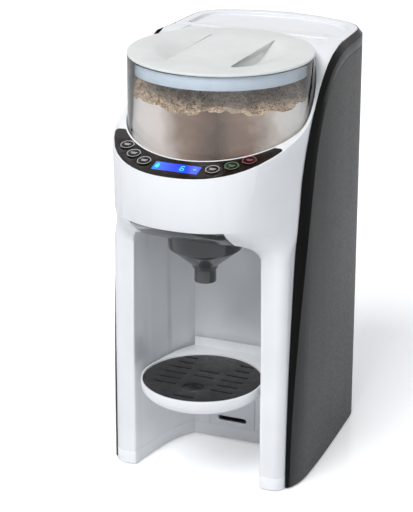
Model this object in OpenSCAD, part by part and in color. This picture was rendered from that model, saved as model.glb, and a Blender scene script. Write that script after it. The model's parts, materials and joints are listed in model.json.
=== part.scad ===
// Countertop baby formula maker: a clear powder hopper and a rear water tank feed a
// mixing funnel over a bottle bay with a removable drip tray.
// Millimetres, +Z up, -Y front. The origin is at the bottom centre of the whole machine.

/* [Hopper] */
// Outer radius of the clear powder hopper
hopper_r = 86; // [82:1:90]
// Wall of the clear hopper
hopper_wall_t = 2.2; // [1.8:0.1:3]
// Height of the hopper from its pocket floor to the top of its wall
hopper_h = 104; // [96:1:110]
// Thickness of the hopper lid's disc
lid_t = 2.8; // [2.4:0.1:3.2]
// Depth of the lid's skirt inside the hopper wall
skirt_h = 13; // [11:0.5:15]
// Depth of the two finger scoops in the lid
scoop_d = 11; // [8:0.5:12]
// Half width of the grip bar between the scoops
grip_hw = 31; // [26:1:34]
// Level of the powder above the hopper floor
powder_h = 67; // [50:1:72]

/* [Body] */
// From the hopper wall forward to the body's front
panel_reach = 32.5; // [31:0.5:34]
// From the hopper wall out to the widest part of the side covers
cover_reach = 11; // [10.5:0.5:12]
// Depth of the water tank
tank_d = 82; // [76:1:86]
// Height of the pocket floor that carries the hopper
deck_z = 300; // [296:1:306]
// Wall of the white and grey mouldings
skin = 2.6; // [2.2:0.1:3]
// Width of each front leg
leg_w = 23.5; // [21:0.5:25]
// Corner radius of the legs
leg_r = 11; // [8:0.5:11.5]
// How far the legs stand back from the body's front
leg_setback = 62; // [54:1:64]
// Height of the arch over the bottle bay
arch_z = 249; // [244:1:252]
// Corner radius of the arch
arch_r = 20; // [14:1:24]
// Height of the base pan, up to its seam
base_h = 12.5; // [10:0.5:16]
// Rubber foot below the base pan
foot_t = 1.5; // [1:0.5:3]

/* [Panel] */
// Slope of the control panel, degrees
panel_tilt = 14.6; // [12:0.2:16]
// Radius of one key cap
key_r = 6.4; // [5.5:0.1:6.6]
// Travel of a key
key_travel = 0.6; // [0.4:0.1:0.8]
// Angle between neighbouring keys
key_step = 13; // [12.8:0.1:14]
// Width of the display window
lcd_w = 44; // [36:1:44]
// Depth of the display window
lcd_d = 13; // [10:0.5:13.5]

/* [Bottle bay] */
// Top of the drip grille above the counter
tray_z = 97.5; // [90:0.5:104]
// Radius of the drip tray's bowl
tray_r = 58.5; // [54:0.5:59]
// Height of the drip tray's bowl
tray_h = 17; // [14:0.5:20]
// Bottom of the spout above the counter
spout_z = 195; // [190:1:202]
// Outer radius of the spout
spout_r = 10.3; // [8.5:0.1:11]

/* [Drive] */
// Module of the drive gears
gear_m = 1; // [1:0.1:1]
// Teeth on the output gear
out_teeth = 54; // [54]
// Teeth on the idler gear
idler_teeth = 30; // [30]
// Teeth on the motor pinion
pinion_teeth = 14; // [14]
// Face width of the gears
gear_w = 6; // [5:0.5:7]
// Radius of the motor
motor_r = 14; // [12:0.5:15]

/* [Clearances] */
// Gap round the hopper in its pocket
pocket_gap = 1; // [0.8:0.1:1.4]
// Gap round lift-off and sliding pieces
slide_gap = 0.5; // [0.4:0.05:0.7]
// Seating gap between pieces that rest on each other
seat_gap = 0.3; // [0.2:0.05:0.4]
// Running clearance of shafts and pins
run_gap = 0.06; // [0.04:0.01:0.1]

/* [Hidden] */
$fn = 96;

// Places along Y, all from the hopper's axis
rear_reach = hopper_r + pocket_gap + 2 * skin + slide_gap * 2 + tank_d + 4.3;
hy = (hopper_r + panel_reach - rear_reach) / 2;
front_y = hy - hopper_r - panel_reach;
back_y = hy + rear_reach;
leg_y = front_y + leg_setback;
tank_y = hy + hopper_r + pocket_gap + skin + 1.4;

// Half widths
cover_hw = hopper_r + cover_reach;
body_hw = hopper_r + pocket_gap + 3;
leg_hw = body_hw - 3;
bay_hw = leg_hw - leg_w;

// Heights
base_z = foot_t;
seam_z = base_z + base_h;
rim_z = deck_z + hopper_h;
lid_top_z = rim_z + lid_t + seat_gap;
panel_rise = tan(panel_tilt);
panel_y = hy - hopper_r;
panel_z = deck_z + 28;
blend_lo = arch_z - 18;
blend_hi = arch_z + 20;
notch_hw = 46;
ceiling_t = 2.4;
tank_floor_z = 262;

// The body's front outline: a superellipse about the hopper axis
squareness = 2.3;
split = 0.873;
split_a = asin(split ^ (squareness / 2));
front_n = 10;
corner_n = 8;
lean = 4;
waist_y = hy + 58.5;

function unit(v) = v / norm(v);
function mirrored(half) = concat([for (i = [len(half) - 1:-1:1]) [-half[i][0], half[i][1]]], half);
function bez(p, n, from = 0) = [for (i = [from:n]) let (t = i / n)
    (1 - t) ^ 3 * p[0] + 3 * t * (1 - t) ^ 2 * p[1] + 3 * t ^ 2 * (1 - t) * p[2] + t ^ 3 * p[3]];
function smooth(u) = (u * u * (3 - 2 * u) + u ^ 1.2) / 2;
function lower_half(g, back) = let (w = leg_hw - g, f = leg_y + g, r = leg_r - g) concat(
    [for (k = [0:front_n]) [(w - r) * k / front_n, f + 0.5 * (1 - (k / front_n) ^ 2)]],
    [for (j = [1:corner_n]) let (a = 90 * j / corner_n) [w - r + r * sin(a), f + r - r * cos(a)]],
    [[w, waist_y], [w - 0.6, back]]);
function upper_half(g, reach, back) = let (w = body_hw - g, d = reach - g, e = 1 / squareness) concat(
    [for (k = [0:front_n]) let (x = split * w * k / front_n) [x, hy - d * (1 - (x / w) ^ squareness) ^ e]],
    [for (j = [1:corner_n]) let (a = split_a + (90 - split_a) * j / corner_n)
        [w * sin(a) ^ (2 * e), hy - d * cos(a) ^ (2 * e)]],
    [[w, waist_y], [w - 4.4 * (back - waist_y) / (tank_y - waist_y), back]]);
function mix(a, b, u) = [for (i = [0:len(a) - 1]) a[i] * (1 - u) + b[i] * u];
function body_half(z, g, back) =
    let (reach = hopper_r + panel_reach - lean * max(0, min(1, (panel_z - z) / (panel_z - blend_hi))),
        u = max(0, min(1, (z - blend_lo) / (blend_hi - blend_lo))))
    mix(lower_half(g, back), upper_half(g, reach, back), smooth(u));

// A solid through closed outlines of equal count, given as [height, points]
module loft(sections) {
    n = len(sections[0][1]);
    m = len(sections);
    points = [for (s = sections) each [for (p = s[1]) [p[0], p[1], s[0]]]];
    sides = [for (k = [0:m - 2]) each [for (i = [0:n - 1]) let (j = (i + 1) % n)
        each [[k * n + i, (k + 1) * n + i, (k + 1) * n + j], [k * n + i, (k + 1) * n + j, k * n + j]]]];
    polyhedron(points, concat([[for (i = [0:n - 1]) i]], sides,
        [[for (i = [n - 1:-1:0]) (m - 1) * n + i]]), convexity = 6);
}
module body_solid(g = 0, lo = seam_z, hi = rim_z, back = tank_y - 0.6) {
    steps = concat([for (k = [0:6]) blend_lo + (blend_hi - blend_lo) * k / 6], [panel_z]);
    heights = concat([lo], [for (z = steps) if (z > lo + 0.5 && z < hi - 0.5) z], [hi]);
    loft([for (z = heights) [z, mirrored(body_half(z, g, back))]]);
}

// Everything below the body's top line, seen from the side
module below_top(drop = 0) {
    climb = bez([[hy - 20, panel_z + (hopper_r - 20) * panel_rise], [hy + 8, panel_z + hopper_r * panel_rise + 2],
        [hy + 24, rim_z - 16], [hy + 68, rim_z]], 10);
    line = concat([[front_y - 10, panel_z - (panel_reach + 10) * panel_rise]], climb, [[back_y, rim_z]]);
    rotate([90, 0, 90]) translate([0, 0, -cover_hw]) linear_extrude(2 * cover_hw)
        polygon(concat([[back_y, 0], [front_y - 10, 0]], [for (p = line) p - [0, drop]]));
}

// Plan of the bottle bay: straight legs, walls that close in, and a flat back
bay_back = hy + 33;
bay_curve = bez([[bay_hw, leg_y + leg_r - 2], [bay_hw - 5, bay_back - 52], [bay_hw - 5.5, bay_back - 27],
    [bay_hw - 23.5, bay_back]], 10);
module bay_plan(grow = 0, open = 80) offset(delta = grow)
    polygon(mirrored(concat([[0, leg_y - open], [bay_hw + 3, leg_y - open], [bay_hw + 3, leg_y],
        [bay_hw + 0.9, leg_y + 0.9]], [[bay_hw, leg_y + 3]], bay_curve, [[0, bay_back]])));

// Plan of the side and back covers
cover_half = concat(
    bez([[cover_hw - 10, leg_y + 6], [cover_hw - 5, leg_y + 13], [cover_hw, leg_y + 24],
        [cover_hw, leg_y + 42]], 5),
    bez([[cover_hw, leg_y + 42], [cover_hw, leg_y + 92], [cover_hw - 4.5, back_y - 89],
        [cover_hw - 7, back_y - 49]], 6, 1),
    bez([[cover_hw - 7, back_y - 49], [cover_hw - 8.7, back_y - 25], [cover_hw - 25, back_y - 13.5],
        [cover_hw - 47, back_y - 8]], 8, 1),
    bez([[cover_hw - 47, back_y - 8], [cover_hw - 64, back_y - 2.5], [15, back_y], [0, back_y]], 5, 1));
module cover_plan(inset = 0) offset(delta = -inset)
    polygon(concat(cover_half, [for (i = [len(cover_half) - 2:-1:0]) [-cover_half[i][0], cover_half[i][1]]]));
function cover_x(y, i = 0) = i >= len(cover_half) - 2 || cover_half[i + 1][1] >= y
    ? let (a = cover_half[i], b = cover_half[i + 1]) a[0] + (b[0] - a[0]) * (y - a[1]) / (b[1] - a[1])
    : cover_x(y, i + 1);

// Half width of the body's side at a place and height
function side_x(y, z) = let (u = max(0, min(1, (z - blend_lo) / (blend_hi - blend_lo))), d = hopper_r + panel_reach)
    leg_hw * (1 - smooth(u)) + smooth(u) * body_hw * (y < hy ? (1 - ((hy - y) / d) ^ squareness) ^ (1 / squareness) : 1);

// Front edges of the glossy trim (next to the white body) and of the grey cover, as [y, z]
edge_n = 10;
cover_top = rim_z - 15;
function edge(foot, rise, crown) = concat(bez([[foot, base_z], [foot, 110], rise, crown[0]], edge_n), bez(crown, edge_n, 1));
body_edge = edge(leg_y + 9, [leg_y + 22, 215],
    [[leg_y + 33, deck_z - 2], [leg_y + 43, deck_z + 42], [hy + 17.5, rim_z - 8], [waist_y, rim_z]]);
cover_edge = edge(leg_y + 12.5, [leg_y + 26, 215],
    [[leg_y + 46, deck_z - 2], [leg_y + 60, deck_z + 56], [hy + 29.5, cover_top - 4], [hy + 82, cover_top]]);
module behind_edge(line, back_z) rotate([90, 0, 90]) translate([0, 0, -cover_hw - 1])
    linear_extrude(2 * cover_hw + 2)
        polygon(concat(line, [[back_y + 1, back_z], [back_y + 1, base_z]]));

// The whole space of the bay: its plan up to the arch
module bay_space(grow = 0) intersection() {
    linear_extrude(arch_z + grow) bay_plan(grow);
    translate([0, bay_back + grow, -1]) rotate([90, 0, 0]) linear_extrude(300) hull() {
        translate([-bay_hw - 3 - grow, 0]) square([2 * (bay_hw + 3 + grow), 10]);
        for (s = [-1, 1]) translate([s * (bay_hw - arch_r), arch_z - arch_r + 1]) circle(arch_r + grow);
    }
}

// ---------------------------------------------------------------- base

module base_plan(inset = 0) difference() {
    union() {
        offset(delta = -inset) polygon(mirrored(lower_half(0, tank_y)));
        intersection() {
            cover_plan(skin + 0.8 + inset);
            translate([-cover_hw, leg_y + 30]) square([2 * cover_hw, back_y - leg_y]);
        }
    }
    bay_plan(inset);
}
foot_at = [for (x = [-1, 1]) each [[x * (leg_hw - leg_w / 2), leg_y + 14], [x * (cover_hw - 30), back_y - 28]]];
screw_at = concat([for (x = [-1, 1]) [x * (leg_hw - leg_w / 2), leg_y + 34]],
    [for (x = [-1, 1]) [x * (cover_hw - 30), back_y - 50]]);
module base_pan() color("whitesmoke") difference() {
    union() {
        translate([0, 0, base_z]) linear_extrude(base_h) difference() {
            base_plan();
            base_plan(skin);
        }
        translate([0, 0, base_z]) linear_extrude(skin) base_plan(0.2);
        for (p = concat(foot_at, screw_at)) translate([p[0], p[1], base_z]) cylinder(r = 5, h = 8);
    }
    for (p = foot_at) translate([p[0], p[1], base_z - 1]) cylinder(r = 3, h = 5);
    for (p = screw_at) translate([p[0], p[1], base_z - 1]) {
        cylinder(r = 1.7, h = 20);
        cylinder(r = 3.2, h = 4);
    }
}
module rubber_feet() color("dimgray") for (p = foot_at) translate([p[0], p[1], 0]) {
    cylinder(r = 6, h = foot_t);
    cylinder(r = 2.9, h = foot_t + 4);
}
module base_screws() color("silver") for (p = screw_at) translate([p[0], p[1], base_z + 3]) {
    rotate([180, 0, 0]) cylinder(r = 3, h = 1.8);
    cylinder(r = 1.6, h = 14);
}

// ---------------------------------------------------------------- white body

module panel_slab(top, bottom) translate([0, panel_y, panel_z]) rotate([panel_tilt, 0, 0])
    translate([-cover_hw, -2 * panel_reach, bottom]) cube([2 * cover_hw, 150, top - bottom]);
panel_c = front_y + 89;
panel_r = 87;
panel_end = hy - 50.5;
module panel_plan(inset = 0) offset(r = 3.5) offset(delta = -3.5 - inset) intersection() {
    difference() {
        offset(delta = -1.7) polygon(mirrored(body_half(panel_z, 0, hy)));
        translate([0, hy]) circle(hopper_r + pocket_gap + 1.8);
    }
    translate([-cover_hw, front_y]) square([2 * cover_hw, panel_end - front_y]);
}
panel_t = 1.6;
key_angles = [-2 * key_step - 26, -key_step - 26, -26, 26, 26 + key_step, 26 + 2 * key_step];
function key_xy(i) = [(panel_r - 11.7) * sin(key_angles[i]), panel_c - (panel_r - 11.7) * cos(key_angles[i])];
function panel_top(p) = panel_z + (p[1] - panel_y) * panel_rise;
module at_key(i) translate([key_xy(i)[0], key_xy(i)[1], panel_top(key_xy(i))]) rotate([panel_tilt, 0, 0])
    children();
lcd_y = front_y + 17.5;
module at_lcd() translate([0, lcd_y, panel_top([0, lcd_y])]) rotate([panel_tilt, 0, 0]) children();

module front_shell() color("white") difference() {
    intersection() {
        body_solid();
        below_top();
    }
    difference() {
        intersection() {
            body_solid(skin, seam_z - 5, rim_z + 5, tank_y + 5);
            below_top(skin + 0.2);
        }
        translate([0, hy, deck_z - 7]) cylinder(r = hopper_r + pocket_gap + skin, h = 200);
        bay_space(skin);
    }
    bay_space();
    translate([-notch_hw, front_y - 5, arch_z - 2]) cube([2 * notch_hw, funnel_back + 1 - front_y + 5, blend_hi - arch_z + 2]);
    translate([0, hy, deck_z - 4]) cylinder(r = hopper_r + pocket_gap, h = 200);
    translate([0, hy, deck_z - 9]) cylinder(r = hopper_r - 5, h = 10);
    intersection() {
        linear_extrude(600) panel_plan(-0.2);
        panel_slab(5, -panel_t);
    }
    for (i = [0:5]) at_key(i) translate([0, 0, -12]) cylinder(r = key_r - 1.2, h = 20);
    at_lcd() translate([-lcd_w / 2 + 1, -lcd_d / 2 + 1, -12]) cube([lcd_w - 2, lcd_d - 2, 20]);
    translate([-24 - seat_gap, bay_back - 1, seam_z - 1]) cube([48 + 2 * seat_gap, skin + 2, insert_top - seam_z + 1 + seat_gap]);
    rotate([90, 0, 90]) translate([0, 0, -70]) linear_extrude(140)
        polygon([[waist_y, rim_z], [tank_y + 5, rim_z - 1.2], [tank_y + 5, rim_z + 5], [waist_y, rim_z + 5]]);
}

// Ceiling of the bay: two rails that carry the funnel's flange
rail_hw = 37;
module bay_ceiling() color("gainsboro") difference() {
    intersection() {
        bay_space(-0.15);
        translate([-bay_hw, leg_y + leg_r + 8, arch_z - ceiling_t]) cube([2 * bay_hw, 200, 20]);
    }
    translate([-rail_hw, leg_y - 40, 0]) cube([2 * rail_hw, funnel_back + 8 - leg_y + 40, 400]);
}

// Insert in the bay's back wall with the tray's three slots
slot_z = [20, tray_z - 45, tray_z - 11];
slot_h = 5;
slot_hw = 15;
insert_top = tray_z - 2;
module slot_panel() color("gainsboro") difference() {
    translate([-24, bay_back, seam_z]) cube([48, skin, insert_top - seam_z]);
    for (z = slot_z) hull() for (s = [-1, 1]) translate([s * (slot_hw - slot_h / 2), bay_back - 1, z + slot_h / 2])
        rotate([-90, 0, 0]) cylinder(r = slot_h / 2, h = skin + 2, $fn = 32);
}

// Floor of the hopper's pocket, with the drive opening and the powder chute
outlet_y = hy - 45;
outlet_r = 10;
module hopper_deck() color("gainsboro") translate([0, hy, 0]) difference() {
    union() {
        translate([0, 0, deck_z - 4]) cylinder(r = hopper_r + pocket_gap - 0.15, h = 4);
        translate([0, outlet_y - hy, deck_z - 24]) cylinder(r = outlet_r + 4, h = 22);
    }
    translate([0, 0, deck_z - 10]) cylinder(r = 14, h = 20);
    translate([0, outlet_y - hy, deck_z - 30]) cylinder(r = outlet_r + 2, h = 40);
}

// ---------------------------------------------------------------- panel

module control_panel() color([0.06, 0.05, 0.05]) difference() {
    intersection() {
        linear_extrude(600) panel_plan();
        panel_slab(0, -panel_t + 0.05);
    }
    for (i = [0:5]) at_key(i) translate([0, 0, -12]) cylinder(r = key_r + 0.3, h = 20);
    at_lcd() translate([-lcd_w / 2, -lcd_d / 2, -12]) cube([lcd_w, lcd_d, 20]);
}
module display_window() color([0.05, 0.25, 0.95]) at_lcd()
    translate([-lcd_w / 2 + 0.15, -lcd_d / 2 + 0.15, -panel_t + 0.1]) cube([lcd_w - 0.3, lcd_d - 0.3, panel_t - 0.2]);
module key_cap(i) at_key(i) {
    translate([0, 0, key_travel - panel_t + 0.1]) cylinder(r = key_r, h = panel_t + 0.2);
    translate([0, 0, -4.4]) cylinder(r = key_r - 2, h = 5);
}
module key_left_3() color("silver") key_cap(0);
module key_left_2() color("silver") key_cap(1);
module key_left_1() color("silver") key_cap(2);
module key_right_1() color("silver") key_cap(3);
module key_right_2() color("seagreen") key_cap(4);
module key_right_3() color("firebrick") key_cap(5);
module key_board() color("darkgreen") union() {
    intersection() {
        linear_extrude(600) panel_plan(2.8);
        panel_slab(-7, -8.6);
    }
    for (i = [0:5]) at_key(i) {
        translate([-3, -3, -7.1]) cube([6, 6, 1.6]);
        translate([0, 0, -5.6]) cylinder(r = 1.6, h = 0.5);
    }
    at_lcd() translate([-lcd_w / 2 + 2, -lcd_d / 2 + 2, -7.1]) cube([lcd_w - 4, lcd_d - 4, 4]);
    for (s = [-1, 1]) at_lcd() translate([s * (lcd_w / 2 + 5), 0, -7.1]) cylinder(r = 1.8, h = 4.2);
}

// ---------------------------------------------------------------- trims and covers

// The trim runs up the body's edge, over its shoulder and round the rear corner, as
// [inner, crest, outer] lines
rear_pts = [for (i = [1:len(cover_half) - 1]) if (cover_half[i][1] > hy + 86) let (last = i == len(cover_half) - 1,
    p = cover_half[i] + (last ? [seat_gap / 2, 0] : [0, 0]), q = cover_half[last ? i : i + 1] - cover_half[i - 1],
    out = last ? [0, 1] : unit([q[1], -q[0]]), w = 5.8 - 2 * min(1, (p[1] - hy - 86) / 90))
    [concat(p - w * out, rim_z), concat(p, cover_top), out]];
trim_gap = 0.65;
trim_inner = concat([for (p = body_edge) [side_x(p[0], p[1]) + trim_gap, p[0], p[1]]], [for (r = rear_pts) r[0]]);
trim_outer = concat([for (p = cover_edge) [cover_x(p[0]), p[0], p[1]]], [for (r = rear_pts) r[1]]);
module trim() {
    n = len(trim_inner);
    ring = [for (i = [0:n - 1]) let (a = trim_inner[i], b = trim_outer[i],
            high = max(0, min(1, (a[2] - deck_z) / (rim_z - deck_z))), rear = i - len(body_edge),
            out = rear < 0 ? [cos(50 * (1 - high) + 10), -sin(50 * (1 - high) + 10)] : rear_pts[rear][2],
            crest = (a + b) / 2 + (0.4 + 1.8 * high) * [out[0], out[1], high],
            back = rear < 0 ? [-0.7 * skin, 0, 0] : -skin * [out[0], out[1], 0],
            down = [0.1, (1 - high) * 2.2, -0.8 * skin * high])
        each [a, crest, b, b + back, crest + 0.5 * back + 0.7 * down, a + (rear < 0 ? down : [0, 0, down[2]])]];
    sides = [for (i = [0:n - 2]) each [for (k = [0:5]) let (j = (k + 1) % 6)
        each [[6 * i + k, 6 * i + j, 6 * i + 6 + j], [6 * i + k, 6 * i + 6 + j, 6 * i + 6 + k]]]];
    polyhedron(ring, concat([[5, 4, 3, 2, 1, 0]], sides, [[for (k = [0:5]) 6 * n - 6 + k]]), convexity = 6);
}
module left_trim() color([0.1, 0.1, 0.1]) mirror([1, 0, 0]) trim();
module right_trim() color([0.1, 0.1, 0.1]) trim();

seam_x = 58;
module cover_wall() intersection() {
    translate([0, 0, base_z - 0.5]) linear_extrude(rim_z - base_z) difference() {
        cover_plan();
        cover_plan(skin);
        translate([-cover_hw + 12, leg_y]) square([2 * cover_hw - 24, 30]);
    }
    behind_edge([for (p = cover_edge) p + [0.3, -0.3]], cover_top - 0.3);
}
module side_cover() intersection() {
    cover_wall();
    difference() {
        translate([0, leg_y, 0]) cube([cover_hw + 1, 400, 500]);
        translate([-1, back_y - 40, -1]) cube([seam_x + 1.2, 100, 600]);
    }
}
module right_cover() color([0.29, 0.29, 0.28]) side_cover();
module left_cover() color([0.29, 0.29, 0.28]) mirror([1, 0, 0]) side_cover();
inlet_z = 34;
switch_z = 62;
switch_x = 34;
module back_cover() color([0.29, 0.29, 0.28]) difference() {
    intersection() {
        cover_wall();
        translate([-seam_x, back_y - 40, 0]) cube([2 * seam_x, 100, 500]);
    }
    for (k = [0:5]) for (s = [-1, 1]) translate([s * 26 - 16, back_y - 20, 110 + 9 * k]) cube([32, 40, 4]);
    translate([-switch_x, back_y - 20, inlet_z]) rotate([-90, 0, 0]) cylinder(r = 7, h = 40);
    translate([switch_x - 7.5, back_y - 20, switch_z - 11]) cube([15, 40, 22]);
}

// ---------------------------------------------------------------- inside

module chassis() color("slategray") difference() {
    union() {
        translate([0, 0, tank_floor_z - 4]) linear_extrude(4 - seat_gap) {
            intersection() {
                cover_plan(skin + 0.6);
                translate([-cover_hw, tank_y - 0.6 + seat_gap]) square([2 * cover_hw, 300]);
            }
            translate([-leg_hw + 5, tank_y - 4]) square([2 * leg_hw - 10, 6]);
        }
        translate([-leg_hw + 5, tank_y - 4, seam_z - 8]) cube([2 * leg_hw - 10, skin, tank_floor_z - seam_z + 8]);
        for (s = [-1, 1]) translate([s * (leg_hw - 9) - 1.5, tank_y - 3, seam_z - 8])
            cube([3, 36, tank_floor_z - seam_z + 8]);
        translate([-30, bay_back + skin + seat_gap, deck_z - 42]) cube([60, tank_y - bay_back - skin - 2, 3]);
    }
    translate([0, valve_y, 0]) cylinder(r = 12, h = 500);
    translate([0, gear_y[2], deck_z - 60]) cylinder(r = motor_r + 1, h = 60);
    for (s = [-1, 1]) translate([s * 50, tank_y + 30, 0]) cylinder(r = 6, h = 500);
    translate([-12, tank_y - 10, 200]) cube([24, 20, 30]);
}
module power_board() color("darkgreen") translate([-60, tank_y - 9, 40]) {
    cube([70, 1.6, 90]);
    translate([8, -13, 10]) cube([26, 13, 22]);
    translate([40, -9, 20]) cube([14, 9, 30]);
    for (k = [0:2]) translate([14 + 18 * k, 0, 62]) rotate([90, 0, 0]) cylinder(r = 5, h = 16);
    for (x = [5, 65]) for (z = [5, 85]) translate([x, 0, z]) rotate([-90, 0, 0]) cylinder(r = 2.4, h = 5);
}
valve_y = tank_y + 26;
pump_c = [34, tank_y + 34, 60];
heater_c = [-38, pump_c[1], 40];
module pump() color("goldenrod") translate(pump_c) {
    cylinder(r = 17, h = 44);
    translate([0, 0, -20]) cylinder(r = 20, h = 20);
    translate([0, 0, -pump_c[2] + base_z + skin]) cylinder(r = 12, h = 40);
    translate([0, 0, 44]) cylinder(r = 4, h = 10);
    translate([-18, 0, -8]) rotate([0, -90, 0]) cylinder(r = 4, h = 12);
}
module heater() color("silver") translate(heater_c) difference() {
    union() {
        cylinder(r = 20, h = 90);
        translate([0, 0, -heater_c[2] + base_z + skin]) cylinder(r = 9, h = 60);
        translate([16, 0, 12]) rotate([0, 90, 0]) cylinder(r = 4, h = 14);
        translate([0, 0, 90]) cylinder(r = 4, h = 10);
    }
    for (k = [0:3]) translate([0, 0, 16 + 18 * k]) difference() {
        cylinder(r = 22, h = 4);
        translate([0, 0, -1]) cylinder(r = 17, h = 6);
        translate([14, -6, -1]) cube([12, 12, 8]);
    }
}
module valve_socket() color("dimgray") translate([0, valve_y, tank_floor_z]) {
    difference() {
        union() {
            translate([0, 0, -12]) cylinder(r = 10, h = 12 - 2 * seat_gap);
            translate([0, 0, -24]) cylinder(r = 4, h = 14);
            translate([0, 0, -7.2]) cylinder(r = 14, h = 3);
        }
        translate([0, 0, -9]) cylinder(r = 8, h = 20);
        translate([0, 0, -30]) cylinder(r = 2.5, h = 30);
    }
    translate([0, 0, -9.5]) cylinder(r = 1.5, h = 5);
    for (a = [0:120:240]) rotate(a) translate([1, -1, -9.5]) cube([8, 2, 1.5]);
}

// A hose swept along points, with a ring at each
module hose(path, r, sides = 10) {
    n = len(path);
    dir = [for (i = [0:n - 1]) unit(path[min(n - 1, i + 1)] - path[max(0, i - 1)])];
    side = [for (d = dir) unit(cross(d, abs(d[0]) < 0.9 ? [1, 0, 0] : [0, 1, 0]))];
    points = [for (i = [0:n - 1]) each [for (k = [0:sides - 1]) let (a = -360 * k / sides)
        path[i] + r * (cos(a) * side[i] + sin(a) * cross(dir[i], side[i]))]];
    walls = [for (i = [0:n - 2]) each [for (k = [0:sides - 1]) let (j = (k + 1) % sides)
        each [[i * sides + k, i * sides + j, (i + 1) * sides + j],
            [i * sides + k, (i + 1) * sides + j, (i + 1) * sides + k]]]];
    polyhedron(points, concat([[for (k = [sides - 1:-1:0]) k]], walls,
        [[for (k = [0:sides - 1]) (n - 1) * sides + k]]), convexity = 8);
}
hose_r = 3.2;
module tube_tank_pump() color("white") hose(bez([[0, valve_y, tank_floor_z - 24.1], [0, valve_y, tank_floor_z - 90],
    [pump_c[0], pump_c[1], pump_c[2] + 110], [pump_c[0], pump_c[1], pump_c[2] + 54.1]], 14), hose_r);
module tube_pump_heater() color("white") hose(bez([[pump_c[0] - 30.1, pump_c[1], pump_c[2] - 8],
    [pump_c[0] - 34, pump_c[1], pump_c[2] - 8], [heater_c[0] + 34, heater_c[1], heater_c[2] + 12],
    [heater_c[0] + 30.1, heater_c[1], heater_c[2] + 12]], 4), hose_r);
nozzle_y = hy - 66;
module tube_heater_nozzle() color("white") hose(concat(
    bez([[heater_c[0], heater_c[1], heater_c[2] + 100.1], [heater_c[0], heater_c[1], 214],
        [-4, heater_c[1] - 10, 215], [0, tank_y - 3, 215]], 8),
    bez([[0, tank_y - 3, 215], [6, bay_back + 30, 215], [34, bay_back + 30, deck_z - 60],
        [40, bay_back + 8, deck_z - 30]], 8, 1),
    bez([[40, bay_back + 8, deck_z - 30], [43, hy + 14, deck_z - 20], [47, hy - 20, deck_z - 20],
        [34, nozzle_y, deck_z - 20]], 8, 1)), hose_r);
module water_nozzle() color("dimgray") translate([0, nozzle_y, 0]) difference() {
    union() {
        translate([14, 0, deck_z - 20]) rotate([0, 90, 0]) cylinder(r = 4, h = 15);
        translate([14, 0, deck_z - 28]) cylinder(r = 5, h = 23.8);
    }
    translate([14, 0, deck_z - 30]) cylinder(r = 1.5, h = 12);
}
wall_y = back_y - 3.8;
rocker_tilt = 7;
module switch_housing() color("dimgray") translate([switch_x, 0, switch_z]) difference() {
    union() {
        translate([-7.3, wall_y - 12, -10.8]) cube([14.6, 13.4, 21.6]);
        translate([-9, wall_y - skin - 4, -13.5]) cube([18, 1.6, 27]);
    }
    translate([-6.3, wall_y - 10, -9.9]) cube([12.6, 20, 19.8]);
    translate([-10, wall_y - 2, 0]) rotate([0, 90, 0]) cylinder(r = 1.2 + run_gap, h = 20);
}
module rocker_switch() color([0.08, 0.08, 0.08]) translate([switch_x, wall_y - 2, switch_z])
    rotate([-rocker_tilt, 0, 0]) rotate([0, 90, 0]) {
    intersection() {
        translate([-9.2, -4, -6]) cube([18.4, 12, 12]);
        translate([0, -5.5, -6]) cylinder(r = 10.4, h = 12);
    }
    translate([0, 0, -7.1]) cylinder(r = 1.2, h = 14.2);
}
module cord_inlet() color([0.08, 0.08, 0.08]) translate([-switch_x, wall_y, inlet_z]) rotate([90, 0, 0])
    difference() {
        union() {
            translate([0, 0, -3]) cylinder(r = 6.8, h = 12);
            translate([0, 0, skin + 2.5]) cylinder(r = 9.5, h = 2.4);
        }
        translate([0, 0, -4]) cylinder(r = 3.6, h = 30);
    }

// ---------------------------------------------------------------- drive

gear_y = [hy, hy + gear_m * (out_teeth + idler_teeth) / 2 + 0.1,
    hy + gear_m * (out_teeth + 2 * idler_teeth + pinion_teeth) / 2 + 0.2];
gear_z = deck_z - 14;
pressure = 20;
backlash = 0.16;
function inv_x(b, t) = b * sqrt(1 + t * t);
function inv_a(t) = t * 180 / PI - atan(t);
module gear_plan(teeth, turn = 0) rotate(turn) {
    rp = gear_m * teeth / 2;
    rb = rp * cos(pressure);
    ro = rp + 0.9 * gear_m;
    rr = rp - 1.2 * gear_m;
    half = 90 / teeth - backlash / 2 / rp * 180 / PI + inv_a(tan(pressure));
    t0 = rr > rb ? sqrt((rr / rb) ^ 2 - 1) : 0;
    t1 = sqrt((ro / rb) ^ 2 - 1);
    flank = [for (k = [0:4]) let (t = t0 + (t1 - t0) * k / 4) [inv_x(rb, t), half - inv_a(t)]];
    tooth = concat(rr < rb ? [[rr, half]] : [], flank);
    polygon([for (i = [0:teeth - 1]) let (a = 360 * i / teeth) each concat(
        [for (p = tooth) p[0] * [cos(a - p[1]), sin(a - p[1])]],
        [for (k = [len(tooth) - 1:-1:0]) let (p = tooth[k]) p[0] * [cos(a + p[1]), sin(a + p[1])]])]);
}
module gear_plate() color("dimgray") difference() {
    union() {
        translate([-36, hy - 10, gear_z - 5]) cube([72, 20, 3]);
        translate([-24, hy - 10, gear_z - 5]) cube([48, gear_y[2] - hy + 26, 3]);
        for (p = [[-32, hy], [32, hy], [-20, gear_y[2] + 8], [20, gear_y[2] + 8]]) translate([p[0], p[1], gear_z - 2.5])
            cylinder(r = 3, h = deck_z - 4 - gear_z + 2.5 - seat_gap);
        translate([0, gear_y[1], gear_z - 3]) cylinder(r = 2, h = gear_w + 6);
    }
    translate([0, gear_y[0], gear_z - 10]) cylinder(r = 5, h = 20);
    translate([0, gear_y[2], gear_z - 10]) cylinder(r = 4, h = 20);
}
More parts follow.
